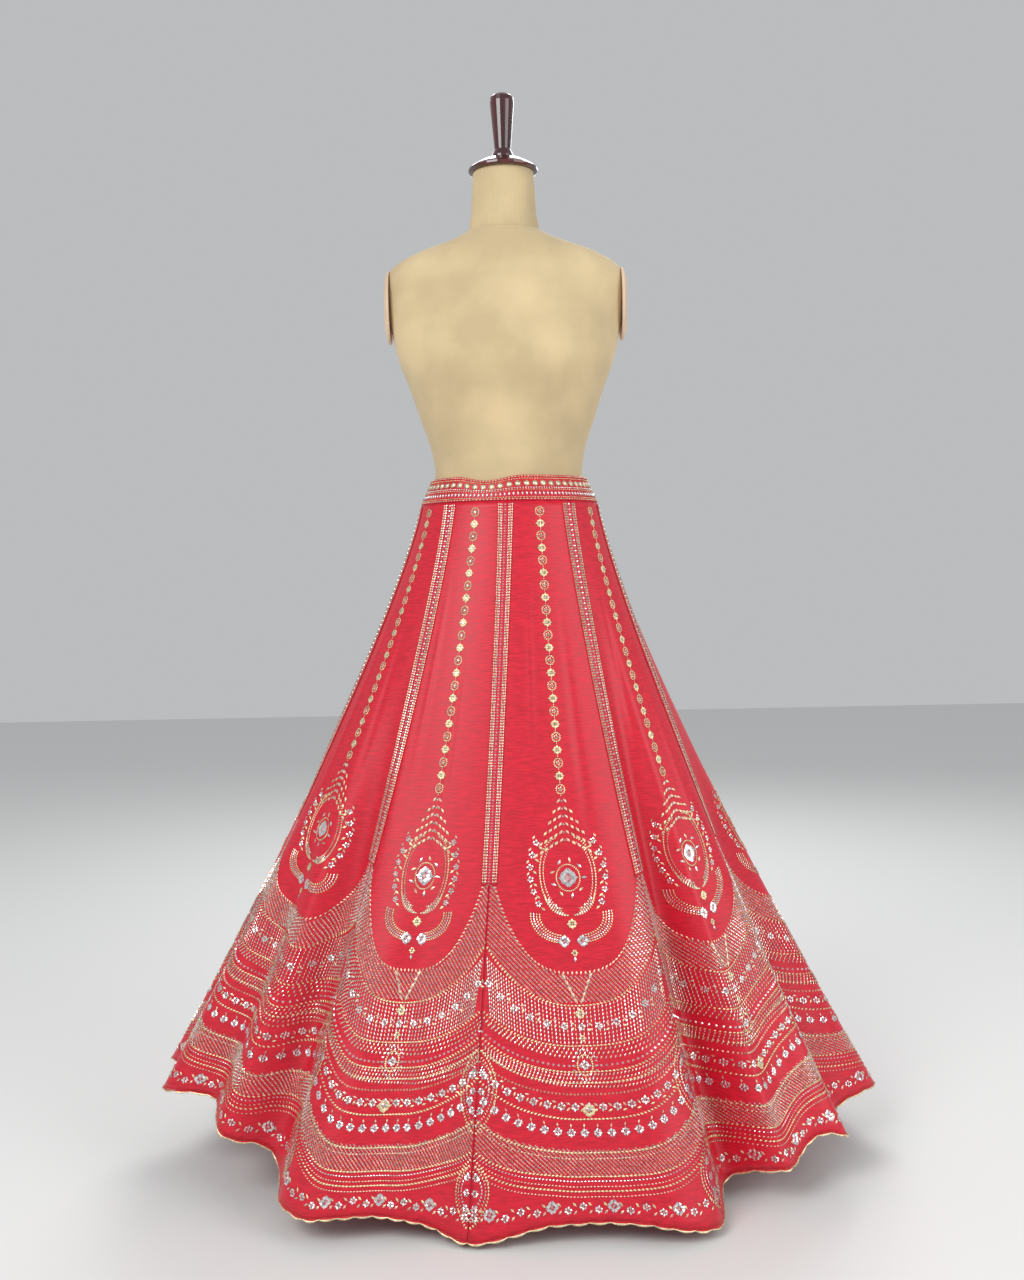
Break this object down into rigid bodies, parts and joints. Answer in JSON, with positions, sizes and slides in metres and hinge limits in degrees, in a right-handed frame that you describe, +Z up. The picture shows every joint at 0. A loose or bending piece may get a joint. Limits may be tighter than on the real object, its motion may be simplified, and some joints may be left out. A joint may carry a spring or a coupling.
{
  "type": "lehenga skirt on dress form",
  "caption": "Full-length flared lehenga skirt of panelled red silk with an embroidered waistband, seam bands and border, worn on a limbless dress form with a round foot.",
  "frame": {"origin": "on the floor under the pole, at the centre of the stand's round foot", "axes": "+Z up, -Y towards the front of the skirt, +X towards the wearer's left"},
  "size_m": [1.1742, 0.6259, 1.713],
  "materials": {
    "silk": "raw silk, soft sheen",
    "zari": "metallic thread embroidery",
    "canvas": "matt cotton canvas",
    "arm_canvas": "matt cotton canvas",
    "wood": "dark gloss varnish",
    "iron": "satin black"
  },
  "bodies": {
    "root": {"panel_front_left": "silk", "panel_side_left": "silk", "panel_back_side_left": "silk", "panel_back_left": "silk", "panel_back_right": "silk", "panel_back_side_right": "silk", "panel_side_right": "silk", "panel_front_right": "silk", "seam_band_front": "zari", "seam_band_front_left": "zari", "seam_band_left": "zari", "seam_band_back_left": "zari", "seam_band_back": "zari", "seam_band_back_right": "zari", "seam_band_right": "zari", "seam_band_front_right": "zari", "waistband": "zari", "hem_piping": "zari", "form_torso": "canvas", "form_neck": "canvas", "form_arm_plate_left": "arm_canvas", "form_arm_plate_right": "arm_canvas", "form_neck_cap": "wood", "form_handle": "wood", "stand_pole": "iron", "stand_foot": "iron"}
  },
  "joints": []
}
